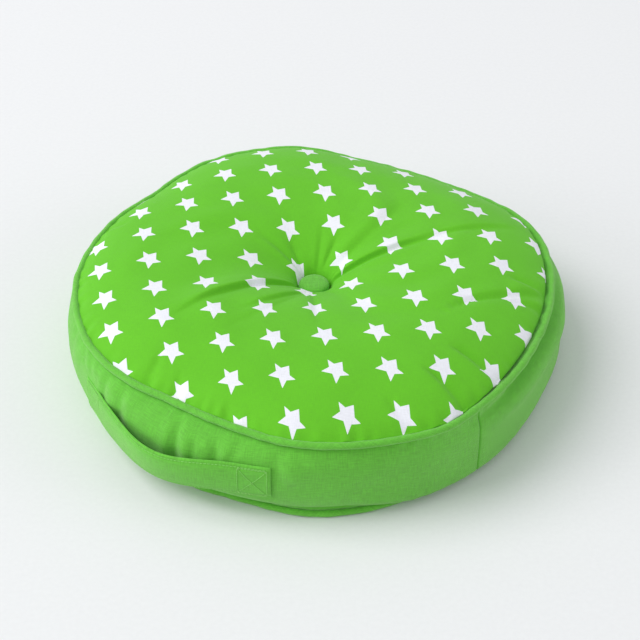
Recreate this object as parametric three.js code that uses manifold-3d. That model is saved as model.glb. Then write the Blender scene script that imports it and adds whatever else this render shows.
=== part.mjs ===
// A round, boxed floor cushion: 50 cm across, tufted through the middle, with a strap handle.
// Millimetres, +Z up. The origin is on the cushion's axis, in the plane it stands on.
import * as THREE from 'three';
import { mergeVertices } from 'three/addons/utils/BufferGeometryUtils.js';
import Module from 'manifold-3d';

const wasm = await Module();
wasm.setup();

// Gaps and cloth thicknesses.
const GAP = 0.3;
const COVER_CLOTH = 1.2;
const CASING_CLOTH = 0.8;
const CASING_DEPTH = COVER_CLOTH + 0.4;
const FILLING_DEPTH = CASING_DEPTH + CASING_CLOTH + 1.6;

// How finely round shapes are divided.
const TURN_STEPS = 32;
const BUTTON_STEPS = 16;

// Outlines are [radius, height] points. The fabric is drawn in at the middle, above and below.
const TUFT_HOLE_RADIUS = 2.8;
const TUFT_FLOOR_RADIUS = 17.5;
const TUFT_TOP_Z = 75;
const TUFT_BOTTOM_Z = 20;
const TOP_OUTLINE = [
  [TUFT_HOLE_RADIUS, TUFT_TOP_Z],
  [TUFT_FLOOR_RADIUS, TUFT_TOP_Z],
  [33, 92.5],
  [62, 106.5],
  [125, 116.3],
  [190, 111],
  [225, 95.2],
  [233.6, 88.9],
];
const BOTTOM_OUTLINE = [
  [TUFT_HOLE_RADIUS, TUFT_BOTTOM_Z],
  [TUFT_FLOOR_RADIUS, TUFT_BOTTOM_Z],
  [32, 8],
  [50, 1.8],
  [70, 0],
  [225, 0],
  [232.4, 0],
];
const TOP_FINENESS = 2;

// The boxing bulges between the two piped seams.
const PIPING_RING_RADIUS = 236;
const TOP_SEAM_Z = 86;
const BOTTOM_SEAM_Z = 3.3;
const SIDE_MIDDLE_Z = (TOP_SEAM_Z + BOTTOM_SEAM_Z) / 2;
const SIDE_HALF_HEIGHT = (TOP_SEAM_Z - BOTTOM_SEAM_Z) / 2;
const SIDE_SEAM_RADIUS = 234.6;
const SIDE_RADIUS = 250;
const SIDE_BULGE_POWER = 3;
const BOXING_HEIGHT = 76.5;
const BOXING_STEPS = { along: 18, across: 6 };
const BOXING_SEAM_ANGLE = -51.5;
const BOXING_SEAM_GAP = 0.1;

// Piping: a cord in a folded bias strip, with its two edges sewn into the seam.
const PIPING_RADIUS = 3;
const PIPING_CLOTH = 0.8;
const PIPING_SLOT = 0.4;
const PIPING_CORD_RADIUS = 1.2;
const PIPING_CORD_SIDES = 6;
const SEAM_ALLOWANCE = 4;
const PIPING_OUTER_STEPS = 6;
const PIPING_INNER_STEPS = 4;

// The inner pad stops short of the seam allowances and fills the bulge between them.
// Its top and bottom follow the cover's outlines up to the last point but one.
const PAD_SIDE_OUTLINE = [
  [226.2, 3.2],
  [233, 10],
  [242.5, 22],
  [247, 40],
  [245.5, 56],
  [238.5, 70],
  [229.5, 80],
  [226.2, 90.6],
];

// Covered buttons, 32 mm across, drawn in local heights from the face that meets the fabric.
const BUTTON_RADIUS = 16;
const BUTTON_HEIGHT = 9;
const BUTTON_RIM_HEIGHT = 3.2;
const BUTTON_CLOTH = 0.8;
const BUTTON_SHELL = 0.8;
const BUTTON_TURN_UNDER = 3.4;
const BUTTON_DOME_STEPS = 5;
const BUTTON_BACK_RADIUS = 12.9;
const BUTTON_BACK_Z = 1.6;
const BUTTON_BACK_THICKNESS = 1;
const EYE_WIRE_RADIUS = 0.5;
const EYE_HALF_WIDTH = 1.6;
const EYE_FOOT = 5;
const EYE_DROP = 2.6;
const EYE_SIDES = 6;
const EYE_STEPS = 16;

// The twine is one long loop, threaded through both button eyes.
const TWINE_THICKNESS = 1;
const TWINE_INNER_HALF_WIDTH = 0.9;
const TWINE_PLAY = 0.75;
const TWINE_ARC_STEPS = 4;

// The strap handle. Angles are in degrees about the cushion's axis.
const STRAP_WIDTH = 35;
const STRAP_MIDDLE_Z = 48;
const STRAP_THICKNESS = 2.4;
const STRAP_LEFT_END = -155.5;
const STRAP_RIGHT_END = -99;
const STRAP_BOW_ANGLE = -123.5;
const STRAP_BOW_SPREAD = 7.2;
const STRAP_BOW = 13.4;
const STRAP_BOW_TILT = 0.14;
const STRAP_STEPS = { along: 34, across: 4 };

// The grip is the part of the strap that swings. It is cut square to its hinge axis.
const GRIP_ANGLE = -124.5;
const GRIP_HALF_ANGLE = 9;
const GRIP_END_STAND_OFF = 6;
const GRIP_CUT_SIZE = 200;
const GRIP_AXIS_DISTANCE = (SIDE_RADIUS + GRIP_END_STAND_OFF + STRAP_THICKNESS / 2)
  * Math.cos(THREE.MathUtils.degToRad(GRIP_HALF_ANGLE));
const GRIP_HALF_LENGTH = GRIP_AXIS_DISTANCE * Math.tan(THREE.MathUtils.degToRad(GRIP_HALF_ANGLE));

// Box-and-cross stitching on each sewn end.
const STITCH_BOX_LENGTH = 27;
const STITCH_BOX_WIDTH = 29;
const STITCH_INSET = 3.5;
const STITCH_WIDTH = 0.9;
const STITCH_THICKNESS = 0.6;
const STITCH_GAP = 0.5;
const STITCH_STEPS = 3;

// Colours.
const STAR_COTTON = { color: 0x69c32d, roughness: 0.85 };
const PLAIN_CANVAS = { color: 0x64b94b, roughness: 0.9 };
const CASING_FABRIC = { color: 0xe9e7df, roughness: 0.95 };
const FIBRE = { color: 0xf2f1ec, roughness: 1 };
const CORD_COTTON = { color: 0xe6e0cf, roughness: 0.95 };
const TWINE_COTTON = { color: 0xddd6c2, roughness: 0.9 };
const THREAD = { color: 0xa5dc78, roughness: 0.7 };
const BUTTON_METAL = { color: 0xb4b6b8, roughness: 0.4, metalness: 0.9 };

const cushion = new THREE.Group();

function addPiece(name, geometry, finish) {
  const mesh = new THREE.Mesh(geometry, new THREE.MeshStandardMaterial(finish));
  mesh.name = name;
  cushion.add(mesh);
  return mesh;
}

// ---------------------------------------------------------------- shape helpers

// The boxing's outside radius at a height.
function sideRadius(z) {
  const fromMiddle = Math.abs(z - SIDE_MIDDLE_Z) / SIDE_HALF_HEIGHT;
  const bulge = 1 - fromMiddle ** SIDE_BULGE_POWER;
  return SIDE_SEAM_RADIUS + (SIDE_RADIUS - SIDE_SEAM_RADIUS) * bulge;
}

function polar(angle, radius, z) {
  return new THREE.Vector3(radius * Math.cos(angle), radius * Math.sin(angle), z);
}

// Turns a closed, anticlockwise [radius, height] outline about the Z axis.
function turned(outline, steps = TURN_STEPS) {
  const geometry = new THREE.LatheGeometry(outline, steps);
  geometry.rotateX(Math.PI / 2);
  return geometry;
}

// Samples a smooth line through the points, each sample moved by `lift` along its upward normal.
// `fineness` is the number of samples for each stretch between two points.
function liftedLine(points, lift, fineness = 1) {
  const curve = new THREE.SplineCurve(points.map(([r, z]) => new THREE.Vector2(r, z)));
  const steps = fineness * (points.length - 1);
  const line = [];
  for (let i = 0; i <= steps; i += 1) {
    const tangent = curve.getTangent(i / steps);
    const upward = new THREE.Vector2(-tangent.y, tangent.x);
    line.push(curve.getPoint(i / steps).addScaledVector(upward, lift));
  }
  return line;
}

// The pad's share of a cover outline, lifted.
function padLine(points, lift, fineness = 1) {
  return liftedLine(points, lift, fineness).slice(0, -fineness);
}

// A closed outline of the skin between a lower and an upper line, both running outwards.
function skinOutline(lower, upper) {
  return [...lower, ...upper.reverse(), lower[0].clone()];
}

// Bends a flat box onto a surface: x is an angle, y a height and z a distance outwards.
function bentSheet(angleSpan, height, thickness, steps, place) {
  const sheet = new THREE.BoxGeometry(angleSpan, height, thickness, steps.along, steps.across, 1);
  return bent(sheet, place);
}

function bent(geometry, place) {
  const position = geometry.attributes.position;
  for (let i = 0; i < position.count; i += 1) {
    const point = place(position.getX(i), position.getY(i), position.getZ(i));
    position.setXYZ(i, point.x, point.y, point.z);
  }
  return geometry;
}

// ---------------------------------------------------------------- booleans

function toSolid(geometry) {
  const bare = geometry.clone();
  bare.deleteAttribute('normal');
  bare.deleteAttribute('uv');
  const welded = mergeVertices(bare, 1e-4);
  const vertProperties = new Float32Array(welded.attributes.position.array);
  const triVerts = new Uint32Array(welded.index.array);
  return new wasm.Manifold(new wasm.Mesh({ numProp: 3, vertProperties, triVerts }));
}

function toGeometry(solid) {
  const mesh = solid.getMesh();
  const geometry = new THREE.BufferGeometry();
  geometry.setAttribute('position', new THREE.BufferAttribute(mesh.vertProperties, 3));
  geometry.setIndex(new THREE.BufferAttribute(mesh.triVerts, 1));
  geometry.computeVertexNormals();
  return geometry;
}

// ---------------------------------------------------------------- cover panels

function topPanel() {
  const lower = liftedLine(TOP_OUTLINE, -COVER_CLOTH, TOP_FINENESS);
  const upper = liftedLine(TOP_OUTLINE, 0, TOP_FINENESS);
  return turned(skinOutline(lower, upper));
}

function bottomPanel() {
  const lower = liftedLine(BOTTOM_OUTLINE, 0);
  const upper = liftedLine(BOTTOM_OUTLINE, COVER_CLOTH);
  return turned(skinOutline(lower, upper));
}

// Half of the boxing, which runs from one upright seam to the other.
function boxingHalf(middleAngle) {
  const seamGap = BOXING_SEAM_GAP / THREE.MathUtils.RAD2DEG;
  const place = (x, y, z) => {
    const height = SIDE_MIDDLE_Z + y;
    return polar(middleAngle + x, sideRadius(height) - COVER_CLOTH / 2 + z, height);
  };
  return bentSheet(Math.PI - seamGap, BOXING_HEIGHT, COVER_CLOTH, BOXING_STEPS, place);
}

// ---------------------------------------------------------------- piping

// Points on a circle about the piping's centre, from one angle to another.
function pipingArc(radius, from, to, steps, seamZ) {
  const arc = [];
  for (let i = 0; i <= steps; i += 1) {
    const angle = from + (to - from) * (i / steps);
    arc.push(new THREE.Vector2(
      PIPING_RING_RADIUS + radius * Math.cos(angle),
      seamZ + radius * Math.sin(angle),
    ));
  }
  return arc;
}

// A folded strip round the cord, open along its slot, with both edges lying inwards.
function pipingCover(seamZ) {
  const slotHalf = PIPING_SLOT / 2;
  const tailHalf = slotHalf + PIPING_CLOTH;
  const innerRadius = PIPING_RADIUS - PIPING_CLOTH;
  const outerLimit = Math.PI - Math.asin(tailHalf / PIPING_RADIUS);
  const innerLimit = Math.PI - Math.asin(slotHalf / innerRadius);
  const tailRadius = PIPING_RING_RADIUS - PIPING_RADIUS - SEAM_ALLOWANCE;
  const tailEnd = (offset) => new THREE.Vector2(tailRadius, seamZ + offset);
  const outline = [
    ...pipingArc(PIPING_RADIUS, -outerLimit, outerLimit, PIPING_OUTER_STEPS, seamZ),
    tailEnd(tailHalf),
    tailEnd(slotHalf),
    ...pipingArc(innerRadius, innerLimit, -innerLimit, PIPING_INNER_STEPS, seamZ),
    tailEnd(-slotHalf),
    tailEnd(-tailHalf),
  ];
  return turned([...outline, outline[0].clone()]);
}

function pipingCord(seamZ) {
  return turned(pipingArc(PIPING_CORD_RADIUS, 0, 2 * Math.PI, PIPING_CORD_SIDES, seamZ));
}

// ---------------------------------------------------------------- inner pad

function casingTop() {
  const lower = padLine(TOP_OUTLINE, -CASING_DEPTH - CASING_CLOTH, TOP_FINENESS);
  const upper = padLine(TOP_OUTLINE, -CASING_DEPTH, TOP_FINENESS);
  return turned(skinOutline(lower, upper));
}

function casingBottom() {
  const lower = padLine(BOTTOM_OUTLINE, CASING_DEPTH);
  const upper = padLine(BOTTOM_OUTLINE, CASING_DEPTH + CASING_CLOTH);
  return turned(skinOutline(lower, upper));
}

// The side line runs upwards, so its upward normal points to the axis.
function casingBand() {
  const outside = liftedLine(PAD_SIDE_OUTLINE, 0);
  const inside = liftedLine(PAD_SIDE_OUTLINE, CASING_CLOTH);
  return turned(skinOutline(outside, inside));
}

// Loose fibre fills the casing, with a passage for the twine.
function fibreFilling() {
  const base = padLine(BOTTOM_OUTLINE, FILLING_DEPTH).slice(0, -1);
  const side = liftedLine(PAD_SIDE_OUTLINE, CASING_CLOTH + GAP).slice(0, -1);
  const crown = padLine(TOP_OUTLINE, -FILLING_DEPTH).reverse();
  return turned([...base, ...side, ...crown, base[0].clone()]);
}

// ---------------------------------------------------------------- covered buttons

// A dome line from the rim up to the axis, `inset` inside the button's outer face.
function domeLine(inset) {
  const rim = BUTTON_RIM_HEIGHT;
  const line = [];
  for (let i = 0; i <= BUTTON_DOME_STEPS; i += 1) {
    const angle = (Math.PI / 2) * (i / BUTTON_DOME_STEPS);
    line.push(new THREE.Vector2(
      i === BUTTON_DOME_STEPS ? 0 : (BUTTON_RADIUS - inset) * Math.cos(angle),
      rim + (BUTTON_HEIGHT - rim - inset) * Math.sin(angle),
    ));
  }
  return line;
}

// Cloth over the dome, round the rim and turned under it.
function buttonCloth() {
  const turnUnder = BUTTON_RADIUS - BUTTON_TURN_UNDER;
  const outline = [
    new THREE.Vector2(turnUnder, BUTTON_CLOTH),
    new THREE.Vector2(turnUnder, 0),
    new THREE.Vector2(BUTTON_RADIUS - 1, 0),
    ...domeLine(0),
  ];
  const inner = [...domeLine(BUTTON_CLOTH)].reverse();
  const corner = new THREE.Vector2(BUTTON_RADIUS - 1 - BUTTON_CLOTH, BUTTON_CLOTH);
  return turned([...inner, corner, ...outline], BUTTON_STEPS);
}

// The pressed metal dome inside the cloth.
function buttonShell() {
  const outset = BUTTON_CLOTH + GAP;
  const rimZ = BUTTON_CLOTH + GAP;
  const outer = domeLine(outset);
  const inner = domeLine(outset + BUTTON_SHELL).reverse();
  const rimRadius = BUTTON_RADIUS - 1 - outset;
  const outline = [
    ...inner,
    new THREE.Vector2(rimRadius - BUTTON_SHELL, rimZ),
    new THREE.Vector2(rimRadius, rimZ),
    ...outer,
  ];
  return turned(outline, BUTTON_STEPS);
}

// The round back plate, with a hole for the wire eye.
function buttonBack() {
  const top = BUTTON_BACK_Z + BUTTON_BACK_THICKNESS;
  const corners = [
    [TUFT_HOLE_RADIUS, BUTTON_BACK_Z],
    [BUTTON_BACK_RADIUS, BUTTON_BACK_Z],
    [BUTTON_BACK_RADIUS, top],
    [TUFT_HOLE_RADIUS, top],
    [TUFT_HOLE_RADIUS, BUTTON_BACK_Z],
  ];
  return turned(corners.map(([r, z]) => new THREE.Vector2(r, z)), BUTTON_STEPS);
}

// The wire eye: two feet on the back plate, and a loop below it for the twine.
function buttonEye() {
  const footZ = BUTTON_BACK_Z + BUTTON_BACK_THICKNESS + EYE_WIRE_RADIUS + GAP;
  const bottomZ = -EYE_DROP;
  const half = EYE_HALF_WIDTH;
  const path = new THREE.CatmullRomCurve3([
    new THREE.Vector3(-EYE_FOOT, 0, footZ),
    new THREE.Vector3(-half - 1, 0, footZ),
    new THREE.Vector3(-half, 0, footZ - 1),
    new THREE.Vector3(-half, 0, bottomZ + half),
    new THREE.Vector3(0, 0, bottomZ),
    new THREE.Vector3(half, 0, bottomZ + half),
    new THREE.Vector3(half, 0, footZ - 1),
    new THREE.Vector3(half + 1, 0, footZ),
    new THREE.Vector3(EYE_FOOT, 0, footZ),
  ]);
  const section = new THREE.Shape();
  for (let i = 0; i < EYE_SIDES; i += 1) {
    const angle = (2 * Math.PI * i) / EYE_SIDES;
    const x = EYE_WIRE_RADIUS * Math.cos(angle);
    const y = EYE_WIRE_RADIUS * Math.sin(angle);
    if (i === 0) {
      section.moveTo(x, y);
    } else {
      section.lineTo(x, y);
    }
  }
  return new THREE.ExtrudeGeometry(section, { steps: EYE_STEPS, extrudePath: path });
}

function addButton(name, fabricZ, upright) {
  const pieces = [
    addPiece(`${name}_cloth`, buttonCloth(), PLAIN_CANVAS),
    addPiece(`${name}_shell`, buttonShell(), BUTTON_METAL),
    addPiece(`${name}_back`, buttonBack(), BUTTON_METAL),
    addPiece(`${name}_eye`, buttonEye(), BUTTON_METAL),
  ];
  for (const piece of pieces) {
    piece.position.z = fabricZ + (upright ? GAP : -GAP);
    piece.rotation.x = upright ? 0 : Math.PI;
  }
}

// ---------------------------------------------------------------- tufting twine

// A stadium outline about the origin: two straight strands joined by half circles.
function stadium(path, halfWidth, halfStraight) {
  path.moveTo(halfWidth, -halfStraight);
  path.lineTo(halfWidth, halfStraight);
  path.absarc(0, halfStraight, halfWidth, 0, Math.PI, false);
  path.lineTo(-halfWidth, -halfStraight);
  path.absarc(0, -halfStraight, halfWidth, Math.PI, 2 * Math.PI, false);
  return path;
}

function tuftingTwine() {
  const wireInside = EYE_DROP - EYE_WIRE_RADIUS - TWINE_PLAY;
  const topZ = TUFT_TOP_Z + GAP - wireInside;
  const bottomZ = TUFT_BOTTOM_Z - GAP + wireInside;
  const halfStraight = (topZ - bottomZ) / 2 - TWINE_INNER_HALF_WIDTH;
  const outerHalfWidth = TWINE_INNER_HALF_WIDTH + TWINE_THICKNESS;
  const shape = stadium(new THREE.Shape(), outerHalfWidth, halfStraight);
  shape.holes.push(stadium(new THREE.Path(), TWINE_INNER_HALF_WIDTH, halfStraight));
  const options = { depth: TWINE_THICKNESS, bevelEnabled: false, curveSegments: TWINE_ARC_STEPS };
  const geometry = new THREE.ExtrudeGeometry(shape, options);
  geometry.translate(0, 0, -TWINE_THICKNESS / 2);
  geometry.rotateX(Math.PI / 2);
  geometry.rotateZ(Math.PI / 2);
  geometry.translate(0, 0, (topZ + bottomZ) / 2);
  return geometry;
}

// ---------------------------------------------------------------- strap handle

// The strap's inner face: on the boxing at its ends, bowed clear of it between them.
function strapInnerRadius(angle, z) {
  const fromBow = (THREE.MathUtils.radToDeg(angle) - STRAP_BOW_ANGLE) / STRAP_BOW_SPREAD;
  const tilt = 1 + STRAP_BOW_TILT * ((z - STRAP_MIDDLE_Z) / (STRAP_WIDTH / 2));
  return sideRadius(z) + GAP + STRAP_BOW * tilt * Math.exp(-0.5 * fromBow ** 2);
}

function wholeStrap() {
  const left = THREE.MathUtils.degToRad(STRAP_LEFT_END);
  const right = THREE.MathUtils.degToRad(STRAP_RIGHT_END);
  const place = (x, y, z) => {
    const angle = (left + right) / 2 + x;
    const height = STRAP_MIDDLE_Z + y;
    const depth = z + STRAP_THICKNESS / 2;
    return polar(angle, strapInnerRadius(angle, height) + depth, height);
  };
  return bentSheet(right - left, STRAP_WIDTH, STRAP_THICKNESS, STRAP_STEPS, place);
}

// A block across the strap, square to the hinge axis, `halfLength` to each side of the grip.
function gripBlock(halfLength) {
  const angle = THREE.MathUtils.degToRad(GRIP_ANGLE);
  const block = new THREE.BoxGeometry(GRIP_CUT_SIZE, 2 * halfLength, GRIP_CUT_SIZE);
  block.rotateZ(angle);
  const centre = polar(angle, GRIP_AXIS_DISTANCE, STRAP_MIDDLE_Z);
  block.translate(centre.x, centre.y, centre.z);
  return toSolid(block);
}

function addStrap() {
  const strap = toSolid(wholeStrap());
  const grip = strap.intersect(gripBlock(GRIP_HALF_LENGTH - GAP / 2));
  addPiece('handle_grip', toGeometry(grip), PLAIN_CANVAS);
  const ends = strap.subtract(gripBlock(GRIP_HALF_LENGTH + GAP / 2)).decompose();
  const names = ['handle_left_end', 'handle_right_end'];
  ends.sort((a, b) => a.boundingBox().min[0] - b.boundingBox().min[0]);
  ends.forEach((end, i) => addPiece(names[i], toGeometry(end), PLAIN_CANVAS));
}

// One straight run of stitching, laid over the strap's outer face.
function stitchRun(from, to, placeOnStrap) {
  const along = new THREE.Vector2(to[0] - from[0], to[1] - from[1]);
  const length = along.length() + STITCH_WIDTH;
  const run = new THREE.BoxGeometry(length, STITCH_WIDTH, STITCH_THICKNESS, STITCH_STEPS, 1, 1);
  run.rotateZ(along.angle());
  run.translate((from[0] + to[0]) / 2, (from[1] + to[1]) / 2, 0);
  return toSolid(bent(run, placeOnStrap));
}

// A stitched box with a cross in it, centred on the sewn end.
function boxStitching(middleAngle) {
  const placeOnStrap = (x, y, z) => {
    const angle = middleAngle + x / SIDE_RADIUS;
    const height = STRAP_MIDDLE_Z + y;
    const depth = STRAP_THICKNESS + STITCH_GAP + STITCH_THICKNESS / 2 + z;
    return polar(angle, strapInnerRadius(angle, height) + depth, height);
  };
  const x = STITCH_BOX_LENGTH / 2;
  const y = STITCH_BOX_WIDTH / 2;
  const corners = [[-x, -y], [x, -y], [x, y], [-x, y]];
  const runs = corners.map((corner, i) => [corner, corners[(i + 1) % corners.length]]);
  runs.push([corners[0], corners[2]], [corners[1], corners[3]]);
  const solids = runs.map(([from, to]) => stitchRun(from, to, placeOnStrap));
  return toGeometry(solids.reduce((joined, run) => joined.add(run)));
}

function stitchAngle(endAngle, direction) {
  const inset = (STITCH_INSET + STITCH_BOX_LENGTH / 2) / SIDE_RADIUS;
  return THREE.MathUtils.degToRad(endAngle) + direction * inset;
}

// ---------------------------------------------------------------- the whole cushion

const seamAngle = THREE.MathUtils.degToRad(BOXING_SEAM_ANGLE);
addPiece('star_top_panel', topPanel(), STAR_COTTON);
addPiece('plain_bottom_panel', bottomPanel(), PLAIN_CANVAS);
addPiece('boxing_front', boxingHalf(seamAngle - Math.PI / 2), PLAIN_CANVAS);
addPiece('boxing_back', boxingHalf(seamAngle + Math.PI / 2), PLAIN_CANVAS);
for (const [name, seamZ] of [['top', TOP_SEAM_Z], ['bottom', BOTTOM_SEAM_Z]]) {
  addPiece(`${name}_piping_cover`, pipingCover(seamZ), PLAIN_CANVAS);
  addPiece(`${name}_piping_cord`, pipingCord(seamZ), CORD_COTTON);
}
addPiece('inner_casing_top', casingTop(), CASING_FABRIC);
addPiece('inner_casing_bottom', casingBottom(), CASING_FABRIC);
addPiece('inner_casing_band', casingBand(), CASING_FABRIC);
addPiece('fibre_filling', fibreFilling(), FIBRE);
addButton('top_button', TUFT_TOP_Z, true);
addButton('bottom_button', TUFT_BOTTOM_Z, false);
addPiece('tufting_twine', tuftingTwine(), TWINE_COTTON);
addStrap();
addPiece('handle_left_stitching', boxStitching(stitchAngle(STRAP_LEFT_END, 1)), THREAD);
addPiece('handle_right_stitching', boxStitching(stitchAngle(STRAP_RIGHT_END, -1)), THREAD);

export default cushion;
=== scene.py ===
"""A round floor cushion: star-print top, tufted with a button, piped seams and a sewn strap handle.

Everything is in metres in the part's own frame: the cushion stands on z = 0 around the Z axis, and the
camera looks from -Y. Angles go round the Z axis from +X. A cushion surface is a grid of angles by shares,
with share 0 at the middle or the lower edge of the piece and 1 at its outer or upper edge.
"""
import math

import bpy
import numpy as np
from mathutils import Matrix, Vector


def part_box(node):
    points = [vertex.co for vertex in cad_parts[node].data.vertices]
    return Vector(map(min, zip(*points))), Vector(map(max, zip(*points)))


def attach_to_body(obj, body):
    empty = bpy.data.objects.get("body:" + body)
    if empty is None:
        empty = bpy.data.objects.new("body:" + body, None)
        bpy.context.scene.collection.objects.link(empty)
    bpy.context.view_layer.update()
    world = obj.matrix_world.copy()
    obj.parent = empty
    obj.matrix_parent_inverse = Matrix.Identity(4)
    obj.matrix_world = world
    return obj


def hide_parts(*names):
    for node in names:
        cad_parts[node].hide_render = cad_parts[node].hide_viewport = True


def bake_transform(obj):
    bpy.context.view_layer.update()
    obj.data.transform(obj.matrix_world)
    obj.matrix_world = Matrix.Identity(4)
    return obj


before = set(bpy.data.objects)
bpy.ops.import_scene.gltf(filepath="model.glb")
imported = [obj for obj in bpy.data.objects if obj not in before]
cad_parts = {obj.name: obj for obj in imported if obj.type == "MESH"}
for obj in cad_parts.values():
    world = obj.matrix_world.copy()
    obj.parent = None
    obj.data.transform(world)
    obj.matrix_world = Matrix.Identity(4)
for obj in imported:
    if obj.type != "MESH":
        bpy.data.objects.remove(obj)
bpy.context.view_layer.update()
SCENE = bpy.context.scene
MM = 0.001

# ---- Sizes that the frame gives ----


def middle(node, axis):
    low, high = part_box(node)
    return (low[axis] + high[axis]) / 2


def half_size(node, axis):
    low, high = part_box(node)
    return (high[axis] - low[axis]) / 2


TOP_SEAM = middle("top_piping_cord", 2)
BOTTOM_SEAM = middle("bottom_piping_cord", 2)
CORD_RADIUS = half_size("top_piping_cord", 2)
RING = half_size("top_piping_cord", 0) - CORD_RADIUS
BELLY = -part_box("boxing_front")[0].y
TUFT_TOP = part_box("top_button_cloth")[0].z
TUFT_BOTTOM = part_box("bottom_button_cloth")[1].z
BUTTON_RADIUS = half_size("top_button_cloth", 0)
BUTTON_HEIGHT = half_size("top_button_cloth", 2) * 2
STRAP_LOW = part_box("handle_grip")[0].z
STRAP_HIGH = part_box("handle_grip")[1].z
STRAP_MIDDLE = (STRAP_LOW + STRAP_HIGH) / 2
STRAP_HALF = (STRAP_HIGH - STRAP_LOW) / 2

# ---- Sizes of the cloth ----
CLOTH = 1.0 * MM
CASING_CLOTH = 0.6 * MM
BUTTON_CLOTH = 0.5 * MM
PIPING_RADIUS = 3.5 * MM
SEAM_TURN = 5.0 * MM
STRAP_THICKNESS = 2.4 * MM
THREAD_RADIUS = 0.3 * MM

# The stuffed cushion is not a perfect circle. Each outline goes once round: angle in degrees, then how
# far it stands out from the plain circle in mm. The top seam also rises and falls.
TOP_SEAM_OUT = ((-180, 1.5), (-160, 0.5), (-146, -4), (-136, -10), (-125, -16), (-115, -14), (-106, -9.5),
                (-98, -3), (-89, 1.5), (-75, 5), (-61, 9), (-52, 4), (-42, 0), (-24, -3), (-8, 0), (7, 5),
                (18, 7.5), (28, 4), (38, -3), (50, -10), (61, -12), (75, -12), (86, -5), (98, 1), (108, 2),
                (118, 2.5), (130, -3), (140, -9), (152, -4), (166, -1), (180, 1.5))
TOP_SEAM_UP = ((-180, 0), (20, 0), (45, -5), (61, -6), (78, -3), (98, 3), (110, 3), (135, 0), (180, 0))
BOTTOM_SEAM_OUT = ((-180, 0), (-130, -3), (-110, -5), (-88, 5), (-74, 2), (-58, -7), (-45, -9), (0, -9),
                   (60, -7), (100, 1), (180, -1))
BELLY_OUT = ((-180, -1.5), (-150, -2), (-125, 1), (-95, 0), (-50, -4), (-25, -6), (-6, 2), (10, 9), (22, 9),
             (40, 1), (60, -8), (80, -6), (100, 2), (130, 0), (180, -1.5))
# The crease between the top panel and the piping: how far down and how wide it opens, in mm.
RIM_CREASE = ((-180, 1.0), (-150, 1.2), (-110, 0.6), (-60, 1.2), (-40, 2.6), (0, 3.2), (25, 2.4), (50, 1),
              (180, 1))
RIM_GAP = ((-180, 0), (-70, 0), (-50, 1.2), (-30, 2.8), (0, 3.4), (25, 2.4), (45, 0.6), (70, 0), (180, 0))
# How far the boxing is drawn in under the top piping, tucked over the bottom piping, and sags, in mm.
RIGHT_HOLLOW = ((-180, 0), (-58, 0), (-46, 3), (-35, 8), (-20, 10), (-8, 10), (2, 3), (10, 0), (180, 0))
FRONT_TUCK = ((-180, 0), (-125, 0), (-108, 3.5), (-96, 2.5), (-86, 4), (-74, 2), (-64, 0), (180, 0))
LOW_SAG = ((-180, 0), (-84, 0), (-68, 3.6), (-55, 3.6), (-30, 1.8), (20, 1.8), (45, 0), (180, 0))
# How far the boxing is pressed in behind the handle, in mm.
HANDLE_DENT = ((-180, 0), (-160, 0), (-155, 1.4), (-148, 1.4), (-138, 2), (-128, 2), (-118, 1.5),
               (-110, 1.4), (-100, 1.4), (-96, 0), (180, 0))
# How far the strap is pressed towards the boxing, and how far it hangs down, in mm.
STRAP_SINK = ((-180, 2.4), (-149, 2.2), (-140, 0.2), (-132, 0), (-114, 0), (-106, 1.2), (-95, 1.2),
              (180, 1.2))
STRAP_DROOP = ((-180, 4.5), (-124, 4.5), (-109, 0), (-90, 0), (180, 0))

# The top panel, then the bottom panel, from the middle to the piping: share of the ring, height in mm.
TOP_OUTLINE = ((0, 75), (0.069, 75.5), (0.078, 80), (0.095, 85), (0.14, 93), (0.263, 106), (0.4, 113.2),
               (0.56, 116.2), (0.72, 113.5), (0.85, 106), (0.94, 97), (0.985, 89.5), (1, 86.8))
BOTTOM_OUTLINE = ((0, 20), (0.074, 19.6), (0.14, 8), (0.21, 2.4), (0.3, 0.6), (0.96, 0.6), (1, 2.6))

# How far the cloth rises against the button, in mm: a lip in front of it.
BUTTON_LIP = ((-180, 0.5), (-150, 1.5), (-120, 3), (-80, 3.4), (-50, 2.4), (-10, 0.5), (90, 0), (180, 0.5))
# How far the panel is raised between tuft and rim, in mm: low behind the left fold and high in front of it.
LEFT_STEP = ((-180, -3), (-165, -2.6), (-156, -0.4), (-148, 2.4), (-132, 1.5), (-110, 0), (110, 0),
             (135, -2), (165, -3.4), (180, -3))

# Folds that run out from the tuft. Each has a gentle side and a steep side, with a ridge beyond the steep
# side: start angle and radius, end angle and radius, depth, gentle width, steep width, which side is steep
# (1 is counter-clockwise), ridge height. Degrees and mm.
TUFT_FOLDS = (
    (-156, 16, -145.5, 170, 3.8, 6.5, 2.0, -1, 3.0),
    (-106, 30, -131, 110, 2.4, 6.0, 2.2, -1, 1.2),
    (130, 16, 138, 85, 2.6, 6.0, 3.0, 1, 0.8),
    (124, 18, 117, 60, 2.0, 4.5, 2.8, 1, 0.5),
    (78, 16, 82, 75, 1.6, 5.0, 3.0, 1, 0.6),
    (62, 22, 64, 62, 2.0, 5.0, 2.8, 1, 0.8),
    (30, 26, 45, 150, 2.2, 9.0, 6.0, 1, 1.0),
    (11, 16, 16, 150, 3.4, 5.0, 2.0, 1, 3.0),
    (17, 125, 17, 232, 1.8, 6.0, 2.6, 1, 1.0),
    (-94, 26, -87, 112, 2.0, 5.5, 4.0, -1, 0.6),
    (-104, 40, -127, 145, 1.2, 7.0, 4.0, -1, 0.5),
)
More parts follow.
